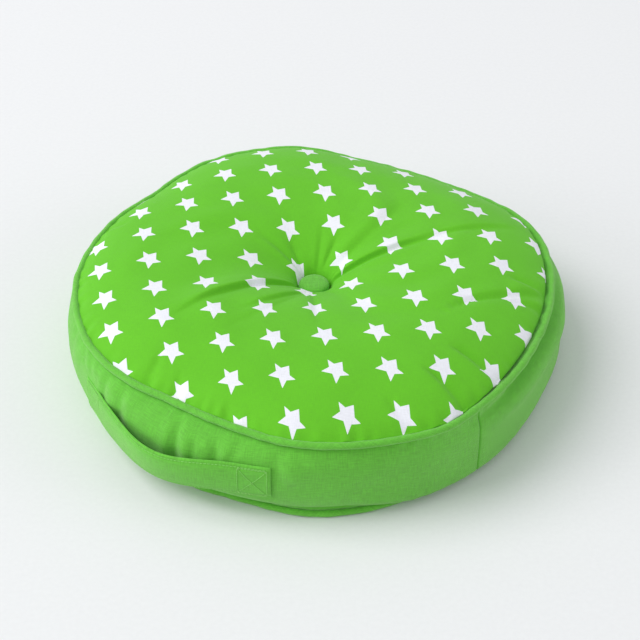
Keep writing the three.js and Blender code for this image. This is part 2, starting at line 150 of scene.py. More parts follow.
# Folds near the rim: the same values.
RIM_FOLDS = (
    (-34, 150, -8, 236, 3.2, 7.0, 3.4, 1, 1.2),
    (-7, 196, -8, 236, 2.8, 6.0, 2.4, -1, 1.4),
    (-18, 196, -14, 236, 2.2, 5.0, 2.6, 1, 0.8),
    (-46, 186, -43, 236, 3.4, 6.0, 2.8, -1, 1.6),
    (-58, 192, -55, 236, 3.0, 6.0, 2.8, -1, 1.4),
    (-72, 206, -70, 236, 1.2, 5.0, 3.6, -1, 0.4),
    (-137, 196, -134, 236, 1.8, 5.0, 4.0, -1, 0.5),
    (-128, 200, -126, 236, 1.6, 5.0, 4.0, -1, 0.5),
    (-112, 208, -111, 236, 1.0, 5.0, 4.0, -1, 0.3),
    (158, 208, 160, 236, 1.0, 6.0, 4.0, 1, 0.3),
)


# ---- Curves and surfaces ----


def smooth_curve(places, outline):
    """A curve through the outline's points that never swings past them."""
    xs, ys = np.array(outline, float).T
    steps = np.diff(xs)
    slopes = np.diff(ys) / steps
    product = slopes[:-1] * slopes[1:]
    total = np.where(product > 0, slopes[:-1] + slopes[1:], 1)
    inner = np.where(product > 0, 2 * product / total, 0)
    tangents = np.concatenate([[slopes[0]], inner, [slopes[-1]]])
    k = np.clip(np.searchsorted(xs, places) - 1, 0, len(steps) - 1)
    t = (places - xs[k]) / steps[k]
    start = ys[k] * (1 + 2 * t) * (1 - t) ** 2 + tangents[k] * steps[k] * t * (1 - t) ** 2
    end = ys[k + 1] * t * t * (3 - 2 * t) + tangents[k + 1] * steps[k] * t * t * (t - 1)
    return start + end


def around(angle, outline):
    """The value of a closed outline, given in mm by degrees, at an angle."""
    before = [(place - 360, value) for place, value in outline[-4:-1]]
    after = [(place + 360, value) for place, value in outline[1:4]]
    return smooth_curve(np.degrees(turn(angle)), before + list(outline) + after) * MM


def ripple(angle, waves, seed):
    """A closed random ripple around the cushion, about -1 to 1, with up to that many waves per turn."""
    chance = np.random.default_rng(seed)
    counts = np.arange(waves // 3, waves)
    phases = chance.uniform(0, 2 * np.pi, len(counts))
    sizes = chance.normal(0, 1, len(counts)) / math.sqrt(len(counts))
    return sum(size * np.cos(count * angle + phase) for count, phase, size in zip(counts, phases, sizes))


def turn(angle):
    """The same angle between -pi and pi."""
    return (angle + np.pi) % (2 * np.pi) - np.pi


def smooth_step(low, high, value):
    """0 up to low, then smoothly up to 1 at high."""
    t = np.clip((value - low) / (high - low), 0, 1)
    return t * t * (3 - 2 * t)


def plateau(value, rise_start, rise_end, fall_start, fall_end):
    """1 in the middle, with a smooth slope down to 0 on each side."""
    return smooth_step(rise_start, rise_end, value) * (1 - smooth_step(fall_start, fall_end, value))


def bump(value, centre, width):
    """A smooth bump, 1 at its centre and a third of that at its width."""
    return np.exp(-((value - centre) / width) ** 2)


def groove(across, width):
    """A valley with long soft sides: 1 in its middle, and under a half at its width."""
    return np.exp(1 - np.sqrt(1 + (1.6 * across / width) ** 2))


def shares_between(first, last, count):
    return np.linspace(first, last, count)[None, :]


def ring_radius(angle):
    return RING + around(angle, TOP_SEAM_OUT)


def ring_height(angle):
    return TOP_SEAM + around(angle, TOP_SEAM_UP)


def bottom_ring_radius(angle):
    return RING + around(angle, BOTTOM_SEAM_OUT)


def bottom_ring_height(angle):
    return np.full(angle.shape, BOTTOM_SEAM)


def belly_radius(angle):
    return BELLY + around(angle, BELLY_OUT)


def fold_depth(angle, radius, folds, last=0.45):
    """How far radial folds pull the cloth in, in metres. Each fades out from the last share of its run."""
    depth = np.zeros(np.broadcast(angle, radius).shape)
    for start_angle, start, end_angle, end, deep, gentle, steep, side, rise in folds:
        along = (radius / MM - start) / (end - start)
        swing = turn(math.radians(end_angle - start_angle))
        line = math.radians(start_angle) + swing * np.sqrt(np.clip(along, 0, 1.1))
        across = side * radius / MM * np.sin(np.clip(turn(angle - line), -1.5, 1.5))
        fade = smooth_step(-0.15, 0.2, along) * (1 - smooth_step(last, last + 0.6, along))
        # A fold is twice as wide at its end as at its start, and its ridge falls away over 18 mm.
        spread = 0.7 + 0.7 * np.clip(along, 0, 1)
        valley = groove(across, np.where(across > 0, steep, gentle) * spread)
        crest = 2.0 * steep * spread
        ridge = bump(across, crest, np.where(across > crest, 18.0, steep * spread))
        depth += MM * fade * (deep * valley - rise * ridge)
    return depth


def top_surface(angle, share, detail=1.0):
    """The star-print panel, from the twine hole out to the piping."""
    ring = ring_radius(angle)
    radius = share * ring
    height = smooth_curve(share, TOP_OUTLINE) * MM + (ring_height(angle) - TOP_SEAM) * share ** 4
    folds = fold_depth(angle, radius, TUFT_FOLDS) + fold_depth(angle, radius, RIM_FOLDS, last=1.2)
    crease = bump(share, 1, 0.024) * around(angle, RIM_CREASE)
    uneven = 0.9 * MM * ripple(angle + 0.5 * np.sin(5 * share), 14, 55) * np.sin(np.pi * share) ** 2
    pucker = ripple(angle, 120, 3) * bump(share, 1, 0.045) * smooth_step(0, 0.02, 1 - share)
    lip = bump(radius, 21 * MM, 6 * MM) * around(angle, BUTTON_LIP)
    step = around(angle, LEFT_STEP) * np.sin(np.pi * share) ** 2
    height = height + detail * (uneven + 0.9 * MM * pucker + lip + step - folds - crease)
    return points_at(angle, radius, height) + detail * settled(angle, share)


def bottom_surface(angle, share, detail=1.0):
    """The plain panel underneath, puckered round its dimple."""
    radius = share * bottom_ring_radius(angle)
    height = smooth_curve(share, BOTTOM_OUTLINE) * MM
    pucker = 1.2 * MM * bump(share, 0.15, 0.07) * (1 + ripple(angle, 14, 8))
    return points_at(angle, radius, height + detail * pucker)


# How far the cloth simulation moved the top panel: a grid of angles by shares.
SETTLED = []


def settled(angle, share):
    """The simulated movement of the top panel at the given angles and shares, in metres."""
    if not SETTLED:
        return 0.0
    grid = SETTLED[0]
    rows, columns = grid.shape[:2]
    row = (angle / (2 * np.pi)) % 1 * rows
    column = np.clip(share, 0, 1) * (columns - 1)
    row, column = np.broadcast_arrays(row, column)
    i, j = np.floor(row).astype(int), np.minimum(np.floor(column).astype(int), columns - 2)
    u, v = (row - i)[..., None], (column - j)[..., None]
    near = grid[i % rows, j] * (1 - v) + grid[i % rows, j + 1] * v
    far = grid[(i + 1) % rows, j] * (1 - v) + grid[(i + 1) % rows, j + 1] * v
    return near * (1 - u) + far * u


def stacked(*coordinates):
    return np.stack(np.broadcast_arrays(*coordinates), -1)


def points_at(angle, radius, height):
    """A grid of points from angles, distances from the Z axis and heights."""
    return stacked(radius * np.cos(angle), radius * np.sin(angle), height)


# Gathers in the boxing: angle in degrees, depth and width in mm, lowest and highest share, lean in mm.
GATHERS = (
    (-138, 2.4, 7, 0.35, 1.0, 6),
    (-121, 3.2, 6, 0.25, 1.0, 6),
    (-116.5, 1.0, 4, 0.4, 0.9, 4),
    (-111, 2.4, 6, 0.3, 0.95, 8),
    (-107.5, 1.3, 5, 0.35, 1.0, -5),
    (-98, 1.8, 7, 0.45, 1.0, -2),
    (-144.5, 1.7, 5, 0.45, 1.0, 2),
    (-151, 1.0, 5, 0.3, 1.0, 2),
    (-155, 1.6, 6, 0.5, 1.0, 3),
    (-163, 1.0, 8, 0.3, 1.0, 2),
)


def gather_depth(angle, share):
    """How far the gathers draw the boxing in, in metres."""
    depth = np.zeros(np.broadcast(angle, share).shape)
    for place, deep, wide, low, high, lean in GATHERS:
        along = (share - low) / (high - low)
        across = BELLY / MM * turn(angle - math.radians(place)) + lean * (along - 0.5)
        fade = smooth_step(0, 0.35, along) * (1 - 0.8 * smooth_step(0.8, 1.0, along))
        width = wide * (1.3 - 0.5 * np.clip(along, 0, 1))
        ridge = bump(np.abs(across), 1.8 * width, width)
        depth += deep * MM * fade * (groove(across, width) - 0.45 * ridge)
    return depth


# Where each sewn end of the strap holds the boxing flat, in degrees, with a slope on either side.
SEWN_LEFT = (-158, -155, -149, -146)
SEWN_RIGHT = (-110, -107, -100, -97)


def sewn_flat(angle, height):
    """1 where the boxing is free to gather, and near 0 where the strap's ends hold it flat."""
    degrees = np.degrees(turn(angle))
    held = plateau(degrees, *SEWN_LEFT) + plateau(degrees, *SEWN_RIGHT)
    return 1 - 0.95 * held * behind_handle(height, 4 * MM)


def behind_handle(height, margin):
    """1 at the strap's heights, falling to 0 over a margin above and below."""
    return plateau(height, STRAP_LOW - margin, STRAP_LOW, STRAP_HIGH, STRAP_HIGH + margin)


def side_surface(angle, share, detail=1.0):
    """The boxing, from the bottom seam up to the top seam."""
    low = BOTTOM_SEAM + PIPING_RADIUS
    high = ring_height(angle) - PIPING_RADIUS
    sag = around(angle, LOW_SAG)
    height = low + (high - low) * share - detail * sag * bump(share, 0.07, 0.07)
    edge = bottom_ring_radius(angle) * (1 - share) + ring_radius(angle) * share
    reach = np.abs(2 * share - 1) ** np.where(share < 0.5, 3 + 4 * sag / MM, 3)
    radius = edge + (belly_radius(angle) - edge) * (1 - reach)
    dent = around(angle, HANDLE_DENT) * behind_handle(height, 9 * MM)
    hollow = (bump(share, 0.89, 0.055) - 0.25 * bump(share, 0.7, 0.1)) * around(angle, RIGHT_HOLLOW)
    tuck = bump(share, 0.06, 0.05) * around(angle, FRONT_TUCK)
    gathers = gather_depth(angle, share) * sewn_flat(angle, height)
    near_seam = bump(share, 1, 0.1) + 0.6 * bump(share, 0, 0.1)
    rough = 0.6 * near_seam * ripple(angle, 110, 5)
    uneven = ripple(angle + 0.08 * np.sin(5 * share), 24, 66) * np.sin(np.pi * share)
    radius = radius + detail * (MM * (rough + 0.5 * uneven) - gathers - hollow - tuck - dent)
    return points_at(angle, radius, height)


# ---- Meshes ----


def link(mesh, name, material):
    """Puts a mesh into the scene as a smooth object of one material."""
    made = bpy.data.objects.new(name, mesh)
    SCENE.collection.objects.link(made)
    mesh.materials.append(material)
    mesh.shade_smooth()
    return made


def grid_faces(rows, columns, wrap_rows=False, wrap_columns=False):
    """The faces between a grid's points. A grid that wraps is closed from its last line to its first."""
    i = np.arange(rows if wrap_rows else rows - 1)
    j = np.arange(columns if wrap_columns else columns - 1)
    i, j = (side.ravel() for side in np.meshgrid(i, j, indexing="ij"))
    up, across = (i + 1) % rows, (j + 1) % columns
    corners = (i * columns + j, up * columns + j, up * columns + across, i * columns + across)
    return np.stack(corners, 1).tolist()


def end_caps(rows, columns, base=0):
    """The two faces that close the ends of a tube whose points start at base."""
    last = base + (rows - 1) * columns
    return [list(range(base, base + columns)), list(range(last, last + columns))[::-1]]


def grid_object(name, grid, material, cloth=None, wrap_rows=True, wrap_columns=False, thickness=0):
    """A tube, or a sheet of some thickness, through a grid of points.

    cloth is each point's place on the flat cloth, in metres. Without it, that is its place seen from above.
    """
    rows, columns = grid.shape[:2]
    faces = grid_faces(rows, columns, wrap_rows, wrap_columns)
    if wrap_columns and not wrap_rows:
        faces += end_caps(rows, columns)
    mesh = bpy.data.meshes.new(name)
    mesh.from_pydata(grid.reshape(-1, 3).tolist(), [], faces)
    set_cloth(mesh, (grid[..., :2] if cloth is None else cloth).reshape(-1, 2))
    made = link(mesh, name, material)
    if thickness:
        give_thickness(made, thickness)
    return made


def set_cloth(mesh, places):
    """Stores each point's place on the flat cloth, which the materials read."""
    flat = np.zeros((len(places), 3), np.float32)
    flat[:, :2] = places
    mesh.attributes.new("cloth", "FLOAT_VECTOR", "POINT").data.foreach_set("vector", flat.ravel())


def apply_modifiers(thing):
    """Bakes the modifiers into the mesh."""
    depsgraph = bpy.context.evaluated_depsgraph_get()
    mesh = bpy.data.meshes.new_from_object(thing.evaluated_get(depsgraph))
    thing.modifiers.clear()
    thing.data = mesh


def give_thickness(thing, thickness):
    """Turns a sheet into cloth of that thickness, on its inner side."""
    solid = thing.modifiers.new("thickness", "SOLIDIFY")
    solid.thickness = thickness
    solid.offset = -1
    solid.use_even_offset = False
    apply_modifiers(thing)


def turns(count, start=0.0, end=360.0, closed=True):
    """Evenly spaced angles in radians, as a column. A closed turn leaves out its last angle."""
    return np.radians(np.linspace(start, end, count, endpoint=not closed))[:, None]


def flat_print(grid, angles):
    """Where each point of the panel lies on the flat printed cloth, which the tuft and the rim draw in."""
    radius = np.hypot(grid[..., 0], grid[..., 1])
    tuft = 1 - 0.11 * bump(radius, 0, 70 * MM)
    ring = ring_radius(angles)
    rim = 1 + 0.7 * (radius / ring) ** 2 * (ring / RING - 1)
    return grid[..., :2] / (tuft * rim)[..., None]


# ---- The cloth simulation ----


# The simulated sheet is a grid of angles by shares. Only the shares from the first up to the last take part,
# and its two edges are held. It runs for some frames, and no point moves further than the last value.
SHEET_ROWS, SHEET_COLUMNS = 240, 61
SHEET_FIRST, SHEET_LAST = 5, 59
SHEET_STEPS = 20
MOST_MOVED = 3 * MM


def oversize_share(share):
    """How much too big the cloth is along the panel, 0 to 1: most at the tuft, some at the rim."""
    return 0.1 + 0.9 * math.exp(-(share / 0.35) ** 2) + 0.4 * math.exp(-((share - 1) / 0.12) ** 2)


def simulated_sheet(start, shares):
    """The sheet before the simulation, held at both edges and marked with how much too big it is."""
    rows, count = start.shape[:2]
    mesh = bpy.data.meshes.new("settling")
    mesh.from_pydata(start.reshape(-1, 3).tolist(), [], grid_faces(rows, count, wrap_rows=True))
    mesh.flip_normals()
    sheet = bpy.data.objects.new("settling", mesh)
    SCENE.collection.objects.link(sheet)
    held = sheet.vertex_groups.new(name="held")
    edges = np.arange(rows * count).reshape(rows, count)[:, [0, count - 1]]
    held.add(edges.ravel().tolist(), 1.0, "REPLACE")
    oversize = sheet.vertex_groups.new(name="oversize")
    for column in range(count):
        spots = (np.arange(rows) * count + column).tolist()
        oversize.add(spots, oversize_share(shares[0, column]), "REPLACE")
    return sheet


def set_physics(cloth):
    """Light cotton, cut up to a tenth too big and blown out by its filling, without its own weight."""
    cloth.quality = 5
    cloth.mass = 0.15
    cloth.tension_stiffness = 20
    cloth.compression_stiffness = 20
    cloth.shear_stiffness = 8
    cloth.bending_stiffness = 0.15
    cloth.air_damping = 4
    cloth.vertex_group_mass = "held"
    cloth.vertex_group_shrink = "oversize"
    cloth.shrink_min = 0.0
    cloth.shrink_max = -0.1
    cloth.use_pressure = True
    cloth.uniform_pressure_force = 0.4
    cloth.effector_weights.gravity = 0


def settle_cover():
    """Lets the top panel find its own small folds, and keeps how it moved for all that lies under it too."""
    shares = np.linspace(0, 1, SHEET_COLUMNS)[None, SHEET_FIRST:SHEET_LAST]
    start = top_surface(turns(SHEET_ROWS), shares)
    sheet = simulated_sheet(start, shares)
    set_physics(sheet.modifiers.new("cloth", "CLOTH").settings)
    for step in range(SHEET_STEPS):
        SCENE.frame_set(step + 1)
    result = sheet.evaluated_get(bpy.context.evaluated_depsgraph_get()).data
    moved = np.zeros(start.size, np.float32)
    result.vertices.foreach_get("co", moved)
    SCENE.frame_set(1)
    bpy.data.objects.remove(sheet)
    # Only the movement that differs round the panel is kept, so its outline stays.
    moved = moved.reshape(start.shape) - start
    moved = moved - moved.mean(axis=0, keepdims=True)
    length = np.linalg.norm(moved, axis=-1, keepdims=True)
    full = np.zeros((SHEET_ROWS, SHEET_COLUMNS, 3))
    full[:, SHEET_FIRST:SHEET_LAST] = moved * MOST_MOVED / np.maximum(MOST_MOVED, length)
    SETTLED.append(full)


# ---- Materials ----


def feed(tree, sockets, values):
    """Gives each input socket its value, or links the output of another node to it."""
    for key, value in values.items():
        if isinstance(value, bpy.types.NodeSocket):
            tree.links.new(value, sockets[key])
        else:
            sockets[key].default_value = value


def node(tree, kind, inputs=None, **settings):
    made = tree.nodes.new("ShaderNode" + kind)
    for key, value in settings.items():
        setattr(made, key, value)
    feed(tree, made.inputs, inputs or {})
    return made


def maths(tree, operation, *values):
    return node(tree, "Math", dict(enumerate(values)), operation=operation).outputs[0]


def colour_mix(tree, factor, first, second):
    mix = node(tree, "Mix", data_type="RGBA")
    colours = [socket for socket in mix.inputs if socket.type == "RGBA"]
    feed(tree, [mix.inputs[0]] + colours, {0: factor, 1: first, 2: second})
    return [socket for socket in mix.outputs if socket.type == "RGBA"][0]


def linear(red, green, blue):
    """A colour as a picture shows it, 0 to 255, as the shader's own values."""
    values = (channel / 255 for channel in (red, green, blue))
    return tuple(v / 12.92 if v <= 0.04045 else ((v + 0.055) / 1.055) ** 2.4 for v in values) + (1.0,)


def new_material(name):
    material = bpy.data.materials.new(name)
    material.use_nodes = True
    tree = material.node_tree
    return material, tree, tree.nodes["Principled BSDF"]


def cloth_place(tree):
    """The two directions on the flat cloth, in metres."""
    place = node(tree, "Attribute", attribute_name="cloth").outputs["Vector"]
    split = node(tree, "SeparateXYZ", {0: place})
    return split.outputs[0], split.outputs[1]


def weave_height(tree, x, y, pitch):
    """A plain weave: one bump where each thread passes over another."""
    waves = [maths(tree, "SINE", maths(tree, "MULTIPLY", way, math.pi / pitch)) for way in (x, y)]
    return maths(tree, "MULTIPLY", *[maths(tree, "ABSOLUTE", wave) for wave in waves])


def slub(tree, x, y, wide, high, layer):
    """Noise with spots of that width and height. Each layer has its own noise."""
    across, up = maths(tree, "DIVIDE", x, wide), maths(tree, "DIVIDE", y, high)
    place = node(tree, "CombineXYZ", {0: across, 1: up, 2: layer})
    return node(tree, "TexNoise", {"Vector": place.outputs[0], "Scale": 1.0, "Detail": 3.0}).outputs[0]


def cloth_surface(tree, shader, x, y, pitch, depth, colour, unevenness):
    """Gives a shader woven relief, unevenness from thread to thread and a soft mottle."""
    long, thick = 14 * pitch, 1.1 * pitch
    weft = slub(tree, x, y, long, thick, 0.0)
    warp = slub(tree, x, y, thick, long, 5.0)
    threads = maths(tree, "ADD", weft, warp)
    height = maths(tree, "ADD", weave_height(tree, x, y, pitch), maths(tree, "MULTIPLY", threads, 1.3))
    relief = node(tree, "Bump", {"Strength": 0.7, "Distance": depth, "Height": height})
    shade = node(tree, "MapRange", {"Value": threads, "From Min": 0.7, "From Max": 1.3,
                                    "To Min": 1 - unevenness, "To Max": 1 + unevenness}).outputs[0]
    mottle = slub(tree, x, y, 0.05, 0.05, 9.0)
    soft = node(tree, "MapRange", {"Value": mottle, "From Min": 0.3, "From Max": 0.7,
                                   "To Min": 0.97, "To Max": 1.03}).outputs[0]
    tint = node(tree, "HueSaturation", {"Color": colour, "Value": maths(tree, "MULTIPLY", shade, soft)})
    rough = node(tree, "MapRange", {"Value": threads, "From Min": 0.6, "From Max": 1.4,
                                    "To Min": 0.78, "To Max": 0.95})
    feed(tree, shader.inputs, {"Base Color": tint.outputs[0], "Roughness": rough.outputs[0],
                               "Normal": relief.outputs[0]})


def woven_material(name, colour, pitch, depth, unevenness, sheen):
    material, tree, shader = new_material(name)
    x, y = cloth_place(tree)
    cloth_surface(tree, shader, x, y, pitch, depth, colour, unevenness)
    feed(tree, shader.inputs, {"Sheen Weight": sheen, "Sheen Tint": (0.9, 1.0, 0.75, 1.0),
                               "Sheen Roughness": 0.5, "Specular IOR Level": 0.25})
    return material


# One printed star: the angle and reach of its points and notches, in degrees and mm, then where they lie.
STAR = ((-88, 15.4), (-58, 8.0), (-25, 13.7), (-8, 7.2), (58, 12.1), (98, 7.8), (118, 14.6), (146, 6.8),
        (187, 12.9), (237, 5.3))
STAR_ORIGIN = (28.4 * MM, -213.3 * MM)
STAR_ACROSS = (48.49 * MM, 5.21 * MM)
STAR_UP = (-9.3 * MM, 46.05 * MM)
# A curve node's values stay between 0 and 1, so each reach is stored as a share of this one, in mm.
FULL_REACH = 20


def star_reach(angle):
    """How far a star's outline lies from its middle in a direction, in mm."""
    turned = [(math.radians(degrees), reach) for degrees, reach in STAR]
    corners = [np.array((reach * math.cos(a), reach * math.sin(a))) for a, reach in turned]
    ray = np.array((math.cos(angle), math.sin(angle)))
    parallel, close = 1e-12, 1e-6
    for k, first in enumerate(corners):
        side = corners[(k + 1) % len(corners)] - first
        cross = ray[0] * side[1] - ray[1] * side[0]
        if abs(cross) <= parallel:
            continue
        share = (first[1] * ray[0] - first[0] * ray[1]) / -cross
        reach = (first[0] * side[1] - first[1] * side[0]) / cross
        if -close <= share <= 1 + close and reach > 0:
            return reach
    return 0.0


def star_curve(tree, angle):
    """A curve node that turns the angle round a star into the reach of its outline."""
    share_of_turn = maths(tree, "ADD", maths(tree, "DIVIDE", angle, 2 * math.pi), 0.5)
    curve = node(tree, "FloatCurve", {"Value": share_of_turn})
    line = curve.mapping.curves[0]
    corners = {turn(math.radians(degrees)) / (2 * math.pi) + 0.5 for degrees, _ in STAR}
    places = sorted(corners | set(np.linspace(0, 1, 61)))
    while len(line.points) < len(places):
        line.points.new(0.5, 0.5)
    for point, place in zip(line.points, places):
        point.location = (place, star_reach((place - 0.5) * 2 * math.pi) / FULL_REACH)
        point.handle_type = "VECTOR"
    curve.mapping.update()
    return curve.outputs[0]


def weighed(tree, x, x_weight, y, y_weight):
    """x times its weight plus y times its weight."""
    return maths(tree, "ADD", maths(tree, "MULTIPLY", x, x_weight), maths(tree, "MULTIPLY", y, y_weight))


def print_mask(tree, x, y):
    """1 inside a printed star and 0 outside."""
    area = STAR_ACROSS[0] * STAR_UP[1] - STAR_ACROSS[1] * STAR_UP[0]
    u = maths(tree, "SUBTRACT", x, STAR_ORIGIN[0])
    v = maths(tree, "SUBTRACT", y, STAR_ORIGIN[1])
    column = weighed(tree, u, STAR_UP[1] / area, v, -STAR_UP[0] / area)
    row = weighed(tree, v, STAR_ACROSS[0] / area, u, -STAR_ACROSS[1] / area)
    left = maths(tree, "SUBTRACT", column, maths(tree, "ROUND", column))
    up = maths(tree, "SUBTRACT", row, maths(tree, "ROUND", row))
    dx = weighed(tree, left, STAR_ACROSS[0], up, STAR_UP[0])
    dy = weighed(tree, left, STAR_ACROSS[1], up, STAR_UP[1])
    reach = maths(tree, "MULTIPLY", star_curve(tree, maths(tree, "ARCTAN2", dy, dx)), FULL_REACH * MM)
    away = maths(tree, "SQRT", weighed(tree, dx, dx, dy, dy))
    inside = maths(tree, "SUBTRACT", reach, away)
    edge = {"Value": inside, "From Min": -0.15 * MM, "From Max": 0.25 * MM}
    return node(tree, "MapRange", edge).outputs[0]


def star_cotton():
    material, tree, shader = new_material("star_cotton")
    x, y = cloth_place(tree)
    colour = colour_mix(tree, print_mask(tree, x, y), linear(99, 189, 32), linear(234, 234, 242))
    cloth_surface(tree, shader, x, y, 0.45 * MM, 0.06 * MM, colour, 0.07)
    feed(tree, shader.inputs, {"Sheen Weight": 0.1, "Sheen Roughness": 0.5, "Specular IOR Level": 0.3})
    return material


def specks(tree, scale, detail, roughness=0.5):
    """Noise in the object's own space."""
    settings = {"Vector": node(tree, "TexCoord").outputs["Object"], "Scale": scale, "Detail": detail,
                "Roughness": roughness}
    return node(tree, "TexNoise", settings).outputs[0]


def fibre_material():
    material, tree, shader = new_material("fibre")
    tufts = specks(tree, 60.0, 8.0, 0.7)
    colour = colour_mix(tree, tufts, linear(225, 224, 218), linear(250, 250, 247))
    relief = node(tree, "Bump", {"Strength": 0.8, "Distance": 1.5 * MM, "Height": tufts})
    feed(tree, shader.inputs, {"Base Color": colour, "Roughness": 0.95, "Normal": relief.outputs[0]})
    return material


def twisted_material(name, colour, pitch):
    """Cotton cord, twine or thread, with slanting strands about four pitches wide and painted shade in the
    grooves between them.
    """
    material, tree, shader = new_material(name)
    place = node(tree, "TexCoord").outputs["Object"]
    settings = {"Vector": place, "Scale": 1 / pitch / 6, "Distortion": 1.5, "Detail": 3.0}
    strands = node(tree, "TexWave", settings, bands_direction="DIAGONAL").outputs[1]
    # Painted shade: the colour darkens to 0.8 where the relief dips into the grooves between strands.
    shade = colour_mix(tree, strands, [c * 0.8 for c in colour[:3]] + [1.0], colour)
    relief = node(tree, "Bump", {"Strength": 0.6, "Distance": 0.2 * MM, "Height": strands})
    feed(tree, shader.inputs, {"Base Color": shade, "Roughness": 0.85, "Normal": relief.outputs[0]})
    return material


def button_metal():
    material, tree, shader = new_material("button_metal")
    marks = specks(tree, 900.0, 4.0)
    colour = colour_mix(tree, marks, linear(170, 172, 175), linear(205, 206, 208))
    rough = node(tree, "MapRange", {"Value": marks, "To Min": 0.28, "To Max": 0.45}).outputs[0]
    feed(tree, shader.inputs, {"Base Color": colour, "Roughness": rough, "Metallic": 1.0})
    return material


def floor_material():
    material, tree, shader = new_material("floor")
    colour = colour_mix(tree, specks(tree, 220.0, 3.0), linear(229, 229, 231), linear(235, 235, 237))
    feed(tree, shader.inputs, {"Base Color": colour, "Roughness": 0.9, "Specular IOR Level": 0.1})
    return material


CANVAS_GREEN = linear(102, 190, 58)
PRINT = star_cotton()
CANVAS = woven_material("plain_canvas", CANVAS_GREEN, 0.8 * MM, 0.25 * MM, 0.18, 0.38)
CASING = woven_material("casing_fabric", linear(238, 236, 228), 0.5 * MM, 0.06 * MM, 0.03, 0.1)
STITCH = twisted_material("stitch_thread", linear(150, 222, 112), 0.5 * MM)
CORD = twisted_material("cord_cotton", linear(235, 232, 220), 0.8 * MM)
TWINE = twisted_material("twine_cotton", linear(238, 236, 226), 0.6 * MM)
METAL = button_metal()
FIBRE = fibre_material()


# ---- The cover ----
SECTORS = 560
# The panels run from the twine's hole to just inside the piping, in shares of the ring.
PANEL_HOLE = 0.013
PANEL_EDGE = 0.985
# The upright seams of the boxing, in degrees. Its two halves stand twice the gap apart, in radians.
FRONT_JOIN, BACK_JOIN = -51.5, 128.5
JOIN_GAP = 0.0003
# The piping's cloth is cut at 45 degrees: this is that angle's sine.
BIAS = 0.7071


def ring_shares(count, inner, outer):
    """Shares from the hole to the rim, closer together at both ends."""
    even = shares_between(0, 1, count)
    return inner + (outer - inner) * (even - 0.09 * np.sin(2 * np.pi * even))


def top_panel():
    angles = turns(SECTORS)[::-1]
    grid = top_surface(angles, ring_shares(78, PANEL_HOLE, PANEL_EDGE - around(angles, RIM_GAP) / RING))
    rim = tucked_rim(angles, grid[:, -1:], ring_height(angles) + 1.2 * MM, ring_radius(angles))
    grid = np.concatenate([grid, rim], 1)
    return grid_object("star_top", grid, PRINT, flat_print(grid, angles), thickness=CLOTH)


def tucked_rim(angles, edge, seam_height, ring):
    """The last of a panel, which dives beside the piping into the seam."""
    depths = shares_between(0, 1, 7)[:, 1:]
    start_height = edge[..., 2]
    start_radius = np.hypot(edge[..., 0], edge[..., 1])
    end_radius = ring - PIPING_RADIUS - 0.5 * SEAM_TURN
    bow = np.sin(np.pi * depths) * 1.6 * MM * smooth_step(0, 1.5 * MM, start_radius - end_radius)
    radius = start_radius + (end_radius - start_radius) * depths ** 2 + bow
    height = start_height + (seam_height - start_height) * np.sin(depths * np.pi / 2)
    return points_at(angles, radius, height)


def bottom_panel():
    angles = turns(SECTORS)
    grid = bottom_surface(angles, ring_shares(70, PANEL_HOLE, PANEL_EDGE))
    rim = tucked_rim(angles, grid[:, -1:], BOTTOM_SEAM + 0.2 * MM, bottom_ring_radius(angles))
    grid = np.concatenate([grid, rim], 1)
    return grid_object("plain_bottom", grid, CANVAS, thickness=CLOTH)


def boxing(name, start, end):
    """Half of the side wall, with its ends and edges turned into the seams."""
    fine = np.array([0, 0.2, 0.5, 0.9, 1.4, 2.0, 2.8, 3.8]) * MM / BELLY
    first, last = math.radians(start) + JOIN_GAP, math.radians(end) - JOIN_GAP
    between = np.linspace(first + fine[-1], last - fine[-1], 400)[1:-1]
    angles = np.concatenate([first + fine, between, (last - fine)[::-1]])[:, None]
    grid = side_surface(angles, shares_between(0, 1, 58))
    from_end = np.minimum(angles - first, last - angles) * BELLY
    pull = 1.2 * MM * bump(from_end, 0, 0.8 * MM) + 0.5 * MM * bump(from_end, 0, 4 * MM)
    radius = np.hypot(grid[..., 0], grid[..., 1]) - pull
    grid = points_at(angles, radius, grid[..., 2])
    low = seam_turn(angles, grid[:, :1], BOTTOM_SEAM + 1.6 * MM, bottom_ring_radius(angles))[:, ::-1]
    high = seam_turn(angles, grid[:, -1:], ring_height(angles) - 1.6 * MM, ring_radius(angles))
    grid = np.concatenate([low, grid, high], 1)
    return grid_object(name, grid, CANVAS, side_cloth(angles, grid), wrap_rows=False, thickness=CLOTH)


def seam_turn(angles, edge, seam_height, ring):
    """The edge of the boxing, which turns in under the piping."""
    depths = shares_between(0, 1, 5)[:, 1:]
    start_radius = np.hypot(edge[..., 0], edge[..., 1])
    end_radius = ring - PIPING_RADIUS - SEAM_TURN
    radius = start_radius + (end_radius - start_radius) * depths
    height = edge[..., 2] + (seam_height - edge[..., 2]) * np.sqrt(depths)
    return points_at(angles, radius, height)


def side_cloth(angles, grid):
    """The boxing's flat cloth: its length round the cushion, and its height measured along the bulge."""
    steps = np.linalg.norm(np.diff(grid, axis=1), axis=-1)
    up = np.concatenate([np.zeros((len(grid), 1)), np.cumsum(steps, 1)], 1)
    return stacked(angles * BELLY, up)


